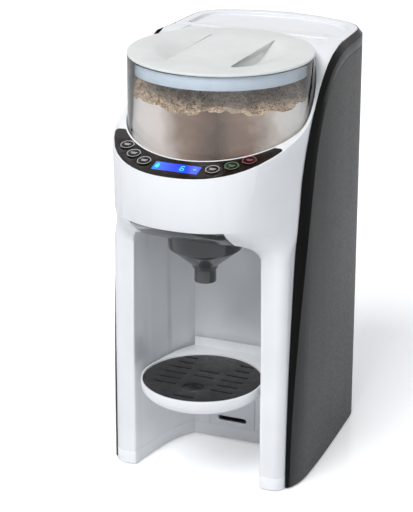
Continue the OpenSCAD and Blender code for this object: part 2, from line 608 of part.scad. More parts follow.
module motor() color("silver") translate([0, gear_y[2], 0]) {
    translate([0, 0, gear_z - 45]) cylinder(r = motor_r, h = 39.8);
    translate([0, 0, gear_z - 5.3]) cylinder(r = 3.6, h = 1);
    translate([0, 0, gear_z - 5.3]) cylinder(r = 1.5, h = gear_w + 8);
    translate([0, 0, gear_z - 48]) cylinder(r = 4, h = 4);
}
module motor_pinion() color("goldenrod") translate([0, gear_y[2], gear_z - 1]) linear_extrude(gear_w + 2)
    difference() {
        gear_plan(pinion_teeth);
        circle(1.5 + run_gap);
    }
module idler_gear() color("whitesmoke") translate([0, gear_y[1], gear_z]) linear_extrude(gear_w) difference() {
    gear_plan(idler_teeth, 6);
    circle(2 + run_gap);
}
dog_w = 9;
module output_gear() color("whitesmoke") translate([0, gear_y[0], gear_z]) {
    linear_extrude(gear_w) gear_plan(out_teeth);
    translate([0, 0, gear_w - 0.5]) cylinder(r = 9, h = 7);
    translate([-dog_w / 2, -dog_w / 2, gear_w + 6]) cube([dog_w, dog_w, deck_z + 9 - gear_z - gear_w - 6]);
    translate([0, 0, -5]) cylinder(r = 5 - run_gap, h = 6);
}

// ---------------------------------------------------------------- water tank

tank_top = rim_z - 7 - seat_gap;
tank_front = tank_y + 2;
module tank_plan(inset = 0) intersection() {
    lid_plan(inset + 1);
    translate([-cover_hw, tank_front + inset]) square([2 * cover_hw, 300]);
}
module water_tank() color([0.75, 0.8, 0.85, 0.5]) translate([0, 0, tank_floor_z]) difference() {
    union() {
        difference() {
            linear_extrude(tank_top - tank_floor_z) tank_plan();
            translate([0, 0, 2.4]) linear_extrude(200) tank_plan(2.2);
        }
        translate([0, valve_y, -5.5]) cylinder(r = 7.4, h = 6);
        translate([0, valve_y, 2]) difference() {
            cylinder(r = 9.5, h = 17);
            translate([0, 0, -1]) cylinder(r = 7.5, h = 16);
            for (a = [0:90:270]) rotate(a) translate([5, -4, 0.4]) cube([8, 8, 12]);
        }
    }
    translate([0, valve_y, -10]) cylinder(r = 4.2, h = 14);
    translate([0, valve_y, 10]) cylinder(r = 2 + run_gap, h = 20);
}
module tank_plunger() color("dimgray") translate([0, valve_y, tank_floor_z]) {
    translate([0, 0, 4.3]) cylinder(r = 6, h = 1.6);
    translate([0, 0, -4.2]) cylinder(r = 2, h = 26);
}
module plunger_seal() color("black") translate([0, valve_y, tank_floor_z + 2.7]) difference() {
    cylinder(r = 6.5, h = 1.4);
    translate([0, 0, -1]) cylinder(r = 2.3, h = 4);
}
spring_z = [tank_floor_z + 6.7, tank_floor_z + 16.2];
spring_n = 40;
module tank_spring() color("silver") hose([for (i = [0:spring_n]) let (a = 360 * 4 * i / spring_n)
    [4.2 * cos(a), valve_y + 4.2 * sin(a), spring_z[0] + (spring_z[1] - spring_z[0]) * i / spring_n]], 0.5, 6);
lid_half = [for (p = trim_inner) if (p[1] > waist_y - 1 && p[2] > rim_z - 0.01) [p[0], p[1]]];
module lid_plan(inset = 0) offset(delta = -inset) intersection() {
    polygon(concat([[0, tank_y]], [for (p = lid_half) p - [seat_gap, 0]], [for (i = [len(lid_half) - 1:-1:0])
        [seat_gap - lid_half[i][0], lid_half[i][1]]]));
    translate([-cover_hw, tank_y]) square([2 * cover_hw, back_y - 4.2 - tank_y]);
}
module tank_lid() color("white") difference() {
    union() {
        translate([0, 0, rim_z - 7]) linear_extrude(7) lid_plan();
        translate([0, 0, rim_z - 12]) linear_extrude(6) tank_plan(2.2 + slide_gap);
    }
    translate([0, 0, rim_z - 3.6]) linear_extrude(10) lid_plan(9);
    translate([0, 0, rim_z - 14]) linear_extrude(8.2) tank_plan(4.2 + slide_gap);
}

// ---------------------------------------------------------------- powder hopper

floor_t = 4;
floor_z = deck_z + seat_gap;
wheel_z = floor_z + floor_t + seat_gap;
wheel_t = 8;
inner_r = hopper_r - hopper_wall_t;
module hopper_base() color("whitesmoke") translate([0, hy, 0]) difference() {
    translate([0, 0, floor_z]) cylinder(r = hopper_r, h = floor_t);
    translate([0, 0, floor_z - 1]) cylinder(r = 12, h = 20);
    translate([0, outlet_y - hy, floor_z - 1]) cylinder(r = outlet_r, h = 20);
}
module hopper_wall() color([0.8, 0.85, 0.9, 0.35]) translate([0, hy, 0]) difference() {
    translate([0, 0, floor_z + floor_t]) cylinder(r = hopper_r, h = rim_z - floor_z - floor_t);
    translate([0, 0, floor_z]) cylinder(r = inner_r, h = 300);
}
module dosing_wheel() color("lightgray") translate([0, hy, 0]) difference() {
    union() {
        translate([0, 0, wheel_z]) cylinder(r = inner_r - 1.2, h = wheel_t);
        translate([0, 0, floor_z + 0.5]) cylinder(r = 12 - run_gap * 1.5, h = 10);
        translate([0, 0, wheel_z + wheel_t - 1]) cylinder(r = 10, h = 9);
    }
    for (a = [0:30:330]) rotate(a) translate([outlet_y - hy, 0, wheel_z - 1]) cylinder(r = outlet_r - 1, h = 20);
    translate([-dog_w / 2 - 0.5, -dog_w / 2 - 0.5, floor_z - 1]) cube([dog_w + 1, dog_w + 1, 11]);
}
module stirring_wheel() color("lightgray") translate([0, hy, wheel_z + wheel_t]) {
    difference() {
        translate([0, 0, 2.3]) cylinder(r = 13, h = 21);
        cylinder(r = 10 + run_gap, h = 8.2);
        translate([0, 0, 19]) cylinder(r = 9, h = 6);
    }
    for (a = [0:120:240]) rotate(a) {
        translate([12, -2.5, 12]) cube([52, 5, 4]);
        translate([60, -2.5, 4]) cube([4, 5, 20]);
        translate([36, -2.5, 3]) cube([4, 5, 10]);
    }
}
module powder_wiper() color("gainsboro") translate([0, hy, wheel_z + wheel_t + 0.3]) intersection() {
    difference() {
        translate([-16, -inner_r, 0]) cube([32, inner_r - 16, 1.6]);
        translate([0, 0, -1]) cylinder(r = 16, h = 10);
    }
    translate([0, 0, -1]) cylinder(r = inner_r - 0.05, h = 10);
}
powder_r = inner_r - 0.3;
sweep_r = 68;
module formula_powder() color([0.76, 0.69, 0.62]) translate([0, hy, floor_z + floor_t]) rotate_extrude()
    polygon([[sweep_r, wheel_t + 2.6], [powder_r, wheel_t + 2.6], [powder_r, powder_h - 2], [50, powder_h + 3],
        [20, powder_h + 1], [0, powder_h], [0, wheel_t + 27], [sweep_r, wheel_t + 27]]);
skirt_r = inner_r - slide_gap;
module hopper_lid() color([0.89, 0.9, 0.87]) translate([0, hy, 0]) difference() {
    union() {
        translate([0, 0, rim_z + seat_gap]) cylinder(r = hopper_r, h = lid_t);
        intersection() {
            scoop(2);
            for (s = [-1, 1]) translate([s * 100 - 100 + s * (grip_hw - 2), -100, 0]) cube([200, 200, 600]);
            translate([0, 0, rim_z - 20]) cylinder(r = hopper_r - 10, h = 22);
        }
    }
    intersection() {
        scoop(0);
        for (s = [-1, 1]) translate([s * 100 - 100 + s * grip_hw, -100, 0]) cube([200, 200, 600]);
    }
}
module scoop(t) translate([0, 0, lid_top_z]) rotate_extrude() polygon(concat([[0, 1], [66 + t, 1], [66 + t, 0]],
    bez([[63 + t, -t], [52 + t, -2 - t], [44, -scoop_d - t], [grip_hw - 2, -scoop_d - t]], 8),
    [[0, -scoop_d - t]]));
module lid_skirt() color([0.76, 0.8, 0.84]) translate([0, hy, rim_z - skirt_h]) difference() {
    cylinder(r = skirt_r, h = skirt_h);
    translate([0, 0, -1]) cylinder(r = skirt_r - 2, h = skirt_h + 2);
}
module lid_seal() color([0.3, 0.35, 0.4]) translate([0, hy, rim_z - skirt_h + 2]) difference() {
    cylinder(r = skirt_r - 2.1, h = 3);
    translate([0, 0, -1]) cylinder(r = skirt_r - 4, h = 6);
}

// ---------------------------------------------------------------- funnel and tray

funnel_y = hy - 35.5;
funnel_back = hy + 6;
funnel_hw = notch_hw - slide_gap;
funnel_top = blend_hi - slide_gap;
flange_z = arch_z + seat_gap;
cone_z = [flange_z - 20, spout_z + 17];
module funnel_block(x, z0, z1, y1) intersection() {
    body_solid(0, blend_lo, blend_hi + 4);
    translate([-x, front_y - 5, z0]) cube([2 * x, y1 - front_y + 5, z1 - z0]);
}
module mixing_funnel() color([0.24, 0.25, 0.25]) difference() {
    union() {
        funnel_block(funnel_hw, flange_z, funnel_top, funnel_back);
        translate([0, funnel_y, 0]) rotate_extrude() polygon([[0, flange_z + 1], [36, flange_z + 1], [34.5, cone_z[0]],
            [spout_r + 3, cone_z[1]], [spout_r + 1.2, cone_z[1] - 4], [spout_r, cone_z[1] - 5], [spout_r, spout_z],
            [0, spout_z]]);
    }
    intersection() {
        body_solid(2.2, blend_lo, blend_hi + 4);
        translate([-funnel_hw + 2, front_y - 5, flange_z + 2])
            cube([2 * funnel_hw - 4, funnel_back - front_y + 3, 60]);
    }
    translate([0, funnel_y, 0]) rotate_extrude() polygon([[0, 400], [34, 400], [34, flange_z + 2], [32.3, cone_z[0] + 1],
        [spout_r + 0.8, cone_z[1] + 1], [spout_r - 2, cone_z[1] - 3], [spout_r - 2, spout_z - 1], [0, spout_z - 1]]);
}

tray_y = hy - 41.8;
grille_t = 2.4;
tray_rim = tray_z + 1.5;
module tray_plan(inset = 0) offset(delta = -inset) union() {
    translate([0, tray_y]) circle(tray_r);
    intersection() {
        bay_plan(-4);
        translate([-bay_hw, tray_y]) square([2 * bay_hw, bay_back - 0.6 - tray_y]);
    }
}
tongue_z = slot_z[2] + slide_gap;
module drip_tray() color("white") difference() {
    union() {
        translate([0, tray_y, 0]) rotate_extrude() polygon(concat([[0, tray_rim], [tray_r, tray_rim]],
            bez([[tray_r, tray_rim - 3], [tray_r, tray_rim - 12], [tray_r - 6, tray_rim - tray_h],
                [tray_r - 16, tray_rim - tray_h]], 8), [[0, tray_rim - tray_h]]));
        translate([0, 0, tray_rim - 12]) linear_extrude(12) intersection() {
            tray_plan();
            translate([-bay_hw, tray_y]) square([2 * bay_hw, 200]);
        }
        translate([0, 0, tray_rim - 1]) linear_extrude(10) intersection() {
            tray_plan();
            translate([-bay_hw, bay_back - 5]) square([2 * bay_hw, 20]);
        }
        translate([-slot_hw + 3, bay_back - 4, tongue_z]) cube([2 * slot_hw - 6, 14, slot_h - 2 * slide_gap]);
    }
    translate([0, tray_y, tray_z - grille_t - seat_gap]) cylinder(r = tray_r - 1.8, h = 30);
    translate([0, tray_y, 0]) rotate_extrude() polygon([[0, 200], [tray_r - 4.5, 200], [tray_r - 4.5, tray_rim - 6],
        [tray_r - 12, tray_rim - tray_h + 2.4], [0, tray_rim - tray_h + 2.4]]);
}
slot_rows = 6;
module drip_grille() color([0.13, 0.13, 0.13]) translate([0, tray_y, tray_z - grille_t]) difference() {
    cylinder(r = tray_r - 2.3, h = grille_t);
    for (j = [0:slot_rows - 1]) let (y = -21.7 + 12.5 * j) for (s = [-1, 1])
        translate([s * 29 - (j < 4 ? 11 : 7), y - 1.3, -1]) cube([j < 4 ? 22 : 14, 2.6, 8]);
    for (y = [-45.2, 3.3, 15.8]) translate([-10.5, y - 1.3, -1]) cube([21, 2.6, 8]);
    translate([0, -21.7, -1]) cylinder(r = 10.5, h = 8);
}

base_pan();
rubber_feet();
base_screws();
front_shell();
bay_ceiling();
slot_panel();
hopper_deck();
control_panel();
display_window();
key_left_1();
key_left_2();
key_left_3();
key_right_1();
key_right_2();
key_right_3();
key_board();
left_trim();
right_trim();
left_cover();
right_cover();
back_cover();
chassis();
power_board();
pump();
heater();
valve_socket();
tube_tank_pump();
tube_pump_heater();
tube_heater_nozzle();
water_nozzle();
switch_housing();
rocker_switch();
cord_inlet();
gear_plate();
motor();
motor_pinion();
idler_gear();
output_gear();
water_tank();
tank_plunger();
tank_spring();
plunger_seal();
tank_lid();
hopper_wall();
hopper_base();
dosing_wheel();
stirring_wheel();
powder_wiper();
formula_powder();
hopper_lid();
lid_skirt();
lid_seal();
mixing_funnel();
drip_tray();
drip_grille();
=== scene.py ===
"""Looks for a countertop baby formula maker, built round its packed construction model.

Metres, +Z up, -Y front, with the origin at the bottom centre of the machine.
"""

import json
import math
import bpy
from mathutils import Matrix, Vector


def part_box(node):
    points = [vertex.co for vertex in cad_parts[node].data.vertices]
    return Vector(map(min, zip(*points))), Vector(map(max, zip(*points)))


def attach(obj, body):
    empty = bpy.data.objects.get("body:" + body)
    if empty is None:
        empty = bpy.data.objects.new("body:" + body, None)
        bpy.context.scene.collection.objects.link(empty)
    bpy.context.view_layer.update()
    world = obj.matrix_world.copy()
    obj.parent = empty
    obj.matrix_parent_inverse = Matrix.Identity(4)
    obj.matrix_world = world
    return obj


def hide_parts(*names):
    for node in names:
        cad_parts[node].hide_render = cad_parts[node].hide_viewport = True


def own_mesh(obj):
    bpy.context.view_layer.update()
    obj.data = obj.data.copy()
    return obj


bl_info = {
    "name": "Formula Maker Finishes",
    "version": (1, 0, 0),
    "blender": (4, 5, 0),
    "location": "3D View > Sidebar > Formula Maker",
    "description": "Gives a countertop formula maker its mouldings, finishes, printed keys and a soft studio",
    "category": "Object",
}

import bmesh
import bpy
from bpy.props import FloatProperty, FloatVectorProperty, PointerProperty, StringProperty
from mathutils import Matrix, Vector
from mathutils.noise import fractal

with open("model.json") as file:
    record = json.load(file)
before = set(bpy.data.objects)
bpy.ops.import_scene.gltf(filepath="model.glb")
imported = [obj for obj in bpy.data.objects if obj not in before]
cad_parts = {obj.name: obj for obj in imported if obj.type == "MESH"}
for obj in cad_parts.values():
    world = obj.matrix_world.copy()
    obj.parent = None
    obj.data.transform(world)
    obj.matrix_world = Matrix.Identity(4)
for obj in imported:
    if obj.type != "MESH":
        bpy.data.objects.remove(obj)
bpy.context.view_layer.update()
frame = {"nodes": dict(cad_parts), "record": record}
MM = 0.001
UP = Vector((0, 0, 1))


def centre_of(node):
    """Middle of a construction solid's box."""
    low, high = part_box(node)
    return (low + high) / 2


HOPPER_AXIS = centre_of("hopper_wall")
HOPPER_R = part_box("hopper_wall")[1].x
PANEL_SLOPE = math.radians(14.6)
PANEL_TILT = Matrix.Rotation(PANEL_SLOPE, 4, "X")
PRINT_PROUD = 0.05 * MM
FACE_DEPTH = 0.02 * MM
WELD_GAP = 0.002 * MM
ON_AXIS = 1e-7


# ------------------------------------------------------------------ sizes and colours


class BodySizes(bpy.types.PropertyGroup):
    """Edge rounding of the mouldings"""

    shell_edge: FloatProperty(
        name="Body edge", description="Rounding on the white body's edges", default=0.5 * MM, unit="LENGTH"
    )
    trim_edge: FloatProperty(
        name="Trim edge", description="Rounding on the glossy trim's edges", default=0.3 * MM, unit="LENGTH"
    )
    lid_edge: FloatProperty(
        name="Lid edge", description="Rounding on the two lids' edges", default=0.9 * MM, unit="LENGTH"
    )
    fine_edge: FloatProperty(
        name="Fine edge", description="Rounding on small pieces", default=0.25 * MM, unit="LENGTH"
    )


class PrintSizes(bpy.types.PropertyGroup):
    """Print on the keys and the display"""

    ring_r: FloatProperty(
        name="Ring radius",
        description="Middle radius of a key's printed ring",
        default=6.0 * MM,
        unit="LENGTH",
    )
    ring_w: FloatProperty(
        name="Ring width", description="Line width of a key's printed ring", default=0.55 * MM, unit="LENGTH"
    )
    digit_h: FloatProperty(
        name="Digit height", description="Height of the display's digit", default=6.4 * MM, unit="LENGTH"
    )


class Colours(bpy.types.PropertyGroup):
    """Colours as sRGB hex values"""

    body: StringProperty(name="Body", description="White of the body", default="#E9EBED")
    lid: StringProperty(name="Lid", description="Off-white of the hopper's lid", default="#E3E5E2")
    cover: StringProperty(name="Covers", description="Dark grey of the side covers", default="#343433")
    trim: StringProperty(name="Trims", description="Black of the glossy trims", default="#0C0C0C")


class StageSizes(bpy.types.PropertyGroup):
    """The studio"""

    camera_at: FloatVectorProperty(
        name="Camera",
        description="Place of the camera",
        default=(0.6812, -1.6609, 0.8608),
        subtype="TRANSLATION",
    )
    heading: FloatProperty(
        name="Heading",
        description="Turn of the view to the left",
        default=math.radians(23.093),
        subtype="ANGLE",
    )
    pitch: FloatProperty(
        name="Pitch", description="Tilt of the view downwards", default=math.radians(20.313), subtype="ANGLE"
    )
    roll: FloatProperty(
        name="Roll", description="Roll of the camera", default=math.radians(0.131), subtype="ANGLE"
    )
    focal: FloatProperty(name="Focal length", description="Millimetres on a 36 mm side", default=140.0)
    floor_side: FloatProperty(name="Floor", description="Side of the floor", default=14.0, unit="LENGTH")


# ------------------------------------------------------------------ materials


def linear(code):
    """Linear colour of an sRGB hex value."""
    parts = [int(code[i : i + 2], 16) / 255 for i in (1, 3, 5)]
    return [c / 12.92 if c <= 0.04045 else ((c + 0.055) / 1.055) ** 2.4 for c in parts] + [1.0]


def add(tree, kind, inputs=None, **settings):
    """Adds a node with its settings, and sets or links its inputs."""
    new = tree.nodes.new(kind)
    for key, value in settings.items():
        setattr(new, key, value)
    for key, value in (inputs or {}).items():
        if isinstance(value, bpy.types.NodeSocket):
            tree.links.new(value, new.inputs[key])
        else:
            new.inputs[key].default_value = value
    return new


def per_mm(size):
    """Texture scale at which one feature is this many millimetres."""
    return 1 / (size * MM)


def surface(name, code, roughness, **sockets):
    """A Principled material with its constant values, as (material, tree, shader, object coordinates)."""
    material = bpy.data.materials.new(name)
    material.use_nodes = True
    tree = material.node_tree
    shader = tree.nodes["Principled BSDF"]
    shader.inputs["Base Color"].default_value = linear(code)
    shader.inputs["Roughness"].default_value = roughness
    for key, value in sockets.items():
        shader.inputs[key.replace("_", " ")].default_value = value
    place = add(tree, "ShaderNodeTexCoord").outputs["Object"]
    return material, tree, shader, place


def noise(tree, place, size, detail=2.0, **inputs):
    """Noise whose features are this many millimetres."""
    return add(
        tree, "ShaderNodeTexNoise", {"Vector": place, "Scale": per_mm(size), "Detail": detail, **inputs}
    ).outputs["Fac"]


def spread(tree, value, low, high, start=0.3, end=0.7):
    """Maps a pattern onto a range of values."""
    return add(
        tree,
        "ShaderNodeMapRange",
        {"Value": value, "From Min": start, "From Max": end, "To Min": low, "To Max": high},
    ).outputs["Result"]


def relief(tree, shader, height, depth, strength=1.0):
    """Bump of this depth in millimetres."""
    bump = add(tree, "ShaderNodeBump", {"Height": height, "Distance": depth * MM, "Strength": strength})
    tree.links.new(bump.outputs["Normal"], shader.inputs["Normal"])


def tint(tree, shader, pattern, first, second):
    """Colour that varies between two hex values."""
    tree.links.new(blended(tree, pattern, linear(first), linear(second)), shader.inputs["Base Color"])


def blended(tree, share, first, second):
    """Mix of two colours, given as values or as outputs."""
    return add(tree, "ShaderNodeMix", {0: share, 6: first, 7: second}, data_type="RGBA").outputs[2]


def ramp(tree, share, stops):
    """Colour that runs through (place, hex) stops."""
    new = add(tree, "ShaderNodeValToRGB", {"Fac": share})
    elements = new.color_ramp.elements
    elements[0].color = linear(stops[0][1])
    elements[1].position, elements[1].color = stops[-1][0], linear(stops[-1][1])
    for at, code in stops[1:-1]:
        elements.new(at).color = linear(code)
    return new.outputs["Color"]


def gloss_abs(name, code, shadow_code, index=1.53):
    """ABS moulded in a polished tool: a hard sharp gloss with the faint long ripple of cooled plastic."""
    material, tree, shader, place = surface(name, code, 0.16, IOR=index)
    tint(tree, shader, spread(tree, noise(tree, place, 60), 0, 1), code, shadow_code)
    tree.links.new(spread(tree, noise(tree, place, 14, 4), 0.13, 0.22), shader.inputs["Roughness"])
    relief(tree, shader, noise(tree, place, 22, 1), 0.05)
    return material


def satin_abs(name, code, shadow_code):
    """ABS from a lightly blasted tool: a soft broad sheen with a grain too fine to see, drawn at 0.5 mm."""
    material, tree, shader, place = surface(name, code, 0.42, IOR=1.53)
    tint(tree, shader, spread(tree, noise(tree, place, 35), 0, 1), code, shadow_code)
    tree.links.new(spread(tree, noise(tree, place, 6, 4), 0.36, 0.5), shader.inputs["Roughness"])
    relief(tree, shader, noise(tree, place, 0.5, 2), 0.02)
    return material


def spark_textured_abs(name, code, shadow_code):
    """ABS from a spark-eroded tool: even dark satin whose 0.7 mm grain breaks up every reflection."""
    material, tree, shader, place = surface(name, code, 0.4, IOR=1.4, Specular_IOR_Level=0.4)
    tint(tree, shader, spread(tree, noise(tree, place, 45), 0, 1), code, shadow_code)
    grain = add(
        tree, "ShaderNodeTexVoronoi", {"Vector": place, "Scale": per_mm(0.7)}, feature="SMOOTH_F1"
    ).outputs["Distance"]
    tree.links.new(spread(tree, noise(tree, place, 3, 3), 0.34, 0.46), shader.inputs["Roughness"])
    relief(tree, shader, grain, 0.02, 0.5)
    return material


def clear_copolyester(name, code, roughness=0.03):
    """Injection-moulded clear copolyester: glass-like, with a faint cool tint and flow ripples."""
    material, tree, shader, place = surface(name, code, roughness, IOR=1.5, Transmission_Weight=1.0)
    flow = spread(tree, noise(tree, place, 9, 2), roughness, roughness + 0.05)
    tree.links.new(flow, shader.inputs["Roughness"])
    relief(tree, shader, noise(tree, place, 30, 1), 0.08)
    shadow = add(tree, "ShaderNodeLightPath").outputs["Is Shadow Ray"]
    through = add(tree, "ShaderNodeBsdfTransparent", {"Color": (0.92, 0.93, 0.94, 1)}).outputs[0]
    both = add(tree, "ShaderNodeMixShader", {0: shadow, 1: shader.outputs[0], 2: through})
    tree.links.new(both.outputs[0], tree.nodes["Material Output"].inputs["Surface"])
    return material


def smoked_copolyester():
    """Smoke-tinted copolyester: dark and glossy, with light showing faintly through thin walls."""
    material, tree, shader, place = surface(
        "smoked_copolyester", "#5A5F60", 0.12, IOR=1.5, Transmission_Weight=0.55, Coat_Weight=0.3
    )
    tint(tree, shader, spread(tree, noise(tree, place, 25), 0, 1), "#4A4E4F", "#616667")
    tree.links.new(spread(tree, noise(tree, place, 5, 3), 0.1, 0.24), shader.inputs["Roughness"])
    relief(tree, shader, noise(tree, place, 18, 1), 0.06)
    return material


def panel_acrylic():
    """Back-printed acrylic: deep black-brown under a clear mirror gloss."""
    material, tree, shader, place = surface(
        "panel_acrylic", "#14100E", 0.07, IOR=1.49, Specular_IOR_Level=0.2
    )
    tint(tree, shader, spread(tree, noise(tree, place, 40), 0, 1), "#0E0B0A", "#1D1512")
    tree.links.new(spread(tree, noise(tree, place, 4, 3), 0.05, 0.13), shader.inputs["Roughness"])
    return material


def milk_powder():
    """Spray-dried formula: grains and clumps on its open top, and a smooth face against the wall.

    That face is painted along X: its own pale beige at both sides, and painted shade, dark brown, across its
    middle.
    """
    material, tree, shader, place = surface("milk_powder", "#C9B9A8", 0.95, IOR=1.45)
    side = add(tree, "ShaderNodeSeparateXYZ", {"Vector": place}).outputs
    wave = spread(tree, noise(tree, place, 30, 3), -8 * MM, 8 * MM)
    across = add(tree, "ShaderNodeMath", {0: side["X"], 1: wave}, operation="ADD").outputs[0]
    share = spread(tree, across, 0, 1, -HOPPER_R, HOPPER_R)
    # Painted shade: the ramp below darkens the face against the wall to brown across the middle of X, pale at
    # both sides.
    stops = (
        (0.0, "#D6CFCB"),
        (0.34, "#C4B6AE"),
        (0.5, "#7E6657"),
        (0.68, "#4A3527"),
        (0.82, "#84695A"),
        (0.93, "#D6C9C0"),
        (1.0, "#E6DDD8"),
    )
    painted_side_shade = ramp(tree, share, stops)
    grains = add(tree, "ShaderNodeTexVoronoi", {"Vector": place, "Scale": per_mm(1.6)}).outputs["Distance"]
    clumps = noise(tree, place, 7, 6)
    rough = add(tree, "ShaderNodeMath", {0: grains, 1: clumps}, operation="MULTIPLY").outputs[0]
    loose = blended(tree, spread(tree, rough, 0, 1, 0.05, 0.4), linear("#CDB79C"), linear("#6B4A2C"))
    upward = add(tree, "ShaderNodeTexCoord").outputs["Normal"]
    level = add(tree, "ShaderNodeSeparateXYZ", {"Vector": upward}).outputs["Z"]
    open_top = spread(tree, level, 0, 1, 0.2, 0.6)
    tree.links.new(blended(tree, open_top, painted_side_shade, loose), shader.inputs["Base Color"])
    relief(tree, shader, clumps, 0.9, spread(tree, open_top, 0.0, 0.6, 0, 1))
    return material


def black_polypropylene(name="black_polypropylene", code="#1C1C1C"):
    """Polypropylene from a plain tool: dull waxy black that greys slightly on rubbed faces."""
    material, tree, shader, place = surface(name, code, 0.45, IOR=1.49)
    tint(tree, shader, spread(tree, noise(tree, place, 12, 5), 0, 1), code, "#2A2A2A")
    tree.links.new(spread(tree, noise(tree, place, 4, 4), 0.38, 0.55), shader.inputs["Roughness"])
    relief(tree, shader, noise(tree, place, 0.6, 2), 0.02)
    return material


def backlit_display():
    """Backlit negative display: vivid blue, paler towards the lamp at its left end, under glass, with a
    purplish painted highlight streak a third of the way along.
    """
    material, tree, shader, place = surface("backlit_display", "#0A2CD0", 0.1, IOR=1.5, Coat_Weight=0.5)
    low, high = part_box("display_window")
    across = add(tree, "ShaderNodeSeparateXYZ", {"Vector": place}).outputs["X"]
    # The purplish stop at 0.32 is a painted highlight streak; the other stops are the backlight's glow.
    glow = ramp(
        tree,
        spread(tree, across, 0, 1, low.x, high.x),
        ((0.0, "#19A9F5"), (0.14, "#1478E6"), (0.32, "#2A52D8"), (0.46, "#0E3FD0"), (1.0, "#1450D2")),
    )
    tree.links.new(glow, shader.inputs["Emission Color"])
    shader.inputs["Emission Strength"].default_value = 0.75
    relief(tree, shader, noise(tree, place, 20, 1), 0.02)
    return material


def printed_ink(name, code, glow=0.0):
    """Screen-printed ink, or a lit segment: flat colour with a slightly uneven, matt surface."""
    material, tree, shader, place = surface(name, code, 0.5, IOR=1.5)
    tree.links.new(spread(tree, noise(tree, place, 1.2, 3), 0.4, 0.65), shader.inputs["Roughness"])
    if glow:
        shader.inputs["Emission Color"].default_value = linear(code)
        shader.inputs["Emission Strength"].default_value = glow
    return material


def rubber(name, code):
    """Moulded rubber or silicone: matt and soft, with fine bloom marks."""
    material, tree, shader, place = surface(name, code, 0.7, IOR=1.45, Sheen_Weight=0.15)
    tree.links.new(spread(tree, noise(tree, place, 3, 5), 0.55, 0.85), shader.inputs["Roughness"])
    relief(tree, shader, noise(tree, place, 1.2, 3), 0.04)
    return material


def plated_steel(name, code):
    """Zinc-plated steel: bright cool metal with a cloudy plating grain."""
    material, tree, shader, place = surface(name, code, 0.3, Metallic=1.0)
    tint(tree, shader, spread(tree, noise(tree, place, 5, 4), 0, 1), code, "#9EA2A6")
    tree.links.new(spread(tree, noise(tree, place, 2, 4), 0.22, 0.42), shader.inputs["Roughness"])
    return material


def turned_brass():
    """Turned brass: warm metal with circular tool lines 2.5 mm apart."""
    material, tree, shader, place = surface("turned_brass", "#C79A4B", 0.28, Metallic=1.0)
    lines = add(tree, "ShaderNodeTexWave", {"Vector": place, "Scale": per_mm(0.4) / 20}, bands_direction="Z")
    tree.links.new(spread(tree, lines.outputs["Fac"], 0.2, 0.36, 0, 1), shader.inputs["Roughness"])
    return material


def natural_acetal(name="natural_acetal", code="#E4E3DC"):
    """Natural acetal: milky and slightly waxy, letting a little light into its teeth."""
    material, tree, shader, place = surface(name, code, 0.35, IOR=1.48, Subsurface_Weight=0.1)
    shader.inputs["Subsurface Radius"].default_value = (2 * MM, 2 * MM, 1.6 * MM)
    tree.links.new(spread(tree, noise(tree, place, 4, 3), 0.28, 0.45), shader.inputs["Roughness"])
    relief(tree, shader, noise(tree, place, 9, 2), 0.03)
    return material


def solder_mask_board():
    """Glass-fibre board under green solder mask: glossy, with copper runs showing as paler lines."""
    material, tree, shader, place = surface("solder_mask_board", "#0D5230", 0.3, IOR=1.55)
    runs = add(
        tree, "ShaderNodeTexBrick", {"Vector": place, "Scale": per_mm(9), "Mortar Size": 0.03}
    ).outputs["Fac"]
    tint(tree, shader, runs, "#0D5230", "#1D7A4C")
    tree.links.new(spread(tree, noise(tree, place, 3, 3), 0.22, 0.4), shader.inputs["Roughness"])
    return material


def make_materials():
    """All the finishes, by name."""
    colours = bpy.context.scene.maker_colours
    return {
        "body": gloss_abs("polished_white_abs", colours.body, "#E2E4E7"),
        "inner": satin_abs("satin_white_abs", "#DFE1E4", "#D6D8DC"),
        "lid": satin_abs("lid_abs", colours.lid, "#D9DBD8"),
        "trim": gloss_abs("polished_black_abs", colours.trim, "#101010", 1.16),
        "cover": spark_textured_abs("spark_textured_abs", colours.cover, "#2F2F2F"),
        "structure": satin_abs("grey_structural_abs", "#6E7377", "#666B6F"),
        "skirt": satin_abs("skirt_abs", "#C3CBD4", "#B6BFC9"),
        "clear": clear_copolyester("clear_copolyester", "#F4F8FA"),
        "tank": clear_copolyester("tinted_copolyester", "#C9D6DE", 0.12),
        "smoke": smoked_copolyester(),
        "panel": panel_acrylic(),
        "display": backlit_display(),
        "powder": milk_powder(),
        "grille": black_polypropylene(),
        "black": black_polypropylene("black_pa66", "#141414"),
        "white_ink": printed_ink("white_ink", "#C9CBCC"),
        "green_ink": printed_ink("green_ink", "#6F9470"),
        "red_ink": printed_ink("red_ink", "#B0555C"),
        "segment": printed_ink("lit_segment", "#35D8FF", 0.9),
        "foot": rubber("nitrile_rubber", "#2B2B2B"),
        "silicone": rubber("clear_silicone", "#D9DBDA"),
        "seal": rubber("grey_silicone", "#7C8790"),
        "steel": plated_steel("zinc_plated_steel", "#C3C6C9"),
        "motor": plated_steel("motor_can_steel", "#AEB1B4"),
        "brass": turned_brass(),
        "acetal": natural_acetal(),
        "board": solder_mask_board(),
    }


MATERIALS = {}


# ------------------------------------------------------------------ mesh helpers


def new_piece(name, mesh):
    """Links a mesh as an object at the frame's origin."""
    piece = bpy.data.objects.new(name, mesh)
    bpy.context.scene.collection.objects.link(piece)
    return piece


def from_bmesh(name, form):
    """An object from a bmesh, with its faces turned outwards."""
    bmesh.ops.recalc_face_normals(form, faces=form.faces)
    mesh = bpy.data.meshes.new(name)
    form.to_mesh(mesh)
    form.free()
    return new_piece(name, mesh)


def smooth_by_angle(mesh, degrees):
    """Smooth shading with creases kept sharp."""
    mesh.shade_smooth()
    mesh.set_sharp_from_angle(angle=math.radians(degrees))


